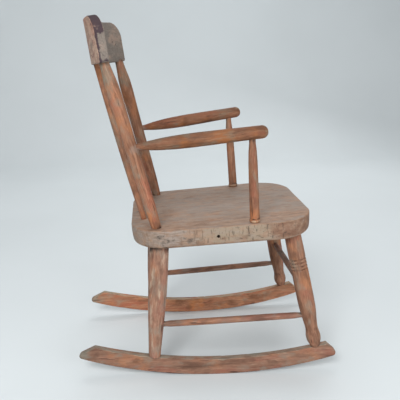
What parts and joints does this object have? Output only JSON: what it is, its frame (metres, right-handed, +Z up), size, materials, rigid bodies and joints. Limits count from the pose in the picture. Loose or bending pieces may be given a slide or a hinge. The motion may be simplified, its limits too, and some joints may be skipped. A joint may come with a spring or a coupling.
{
  "type": "rocking chair",
  "caption": "Small spindle-back rocking chair in worn red-brown wood, with turned legs and arms, a plank seat with rounded corners and a curved crest rail, on bow rockers.",
  "frame": {"origin": "on the floor, where the middle of the bounding box falls: Y = 0 is halfway between the tips of the rockers and X = 0 halfway between the chair's outermost sides", "axes": "+Z up; -Y is the chair's front, the way the sitter faces; -X is the sitter's right-hand side, +X their left"},
  "size_m": [0.2648, 0.4171, 0.5598],
  "materials": {
    "turned_wood": "worn red-brown stain, satin",
    "seat_wood": "worn bare grey-brown top, grain from front to back",
    "crest_wood": "worn grey front, red-brown edges",
    "rocker_wood": "worn red-brown stain, grey at the tips"
  },
  "bodies": {
    "root": {"seat": "seat_wood", "crest_rail": "crest_wood", "back_post_right": "turned_wood", "back_post_left": "turned_wood", "back_spindle_right": "turned_wood", "back_spindle_middle": "turned_wood", "back_spindle_left": "turned_wood", "arm_right": "turned_wood", "arm_left": "turned_wood", "arm_support_right": "turned_wood", "arm_support_left": "turned_wood", "front_leg_right": "turned_wood", "front_leg_left": "turned_wood", "rear_leg_right": "turned_wood", "rear_leg_left": "turned_wood", "side_stretcher_right": "turned_wood", "side_stretcher_left": "turned_wood", "front_stretcher": "turned_wood", "rear_stretcher": "turned_wood", "rocker_right": "rocker_wood", "rocker_left": "rocker_wood"}
  },
  "joints": []
}
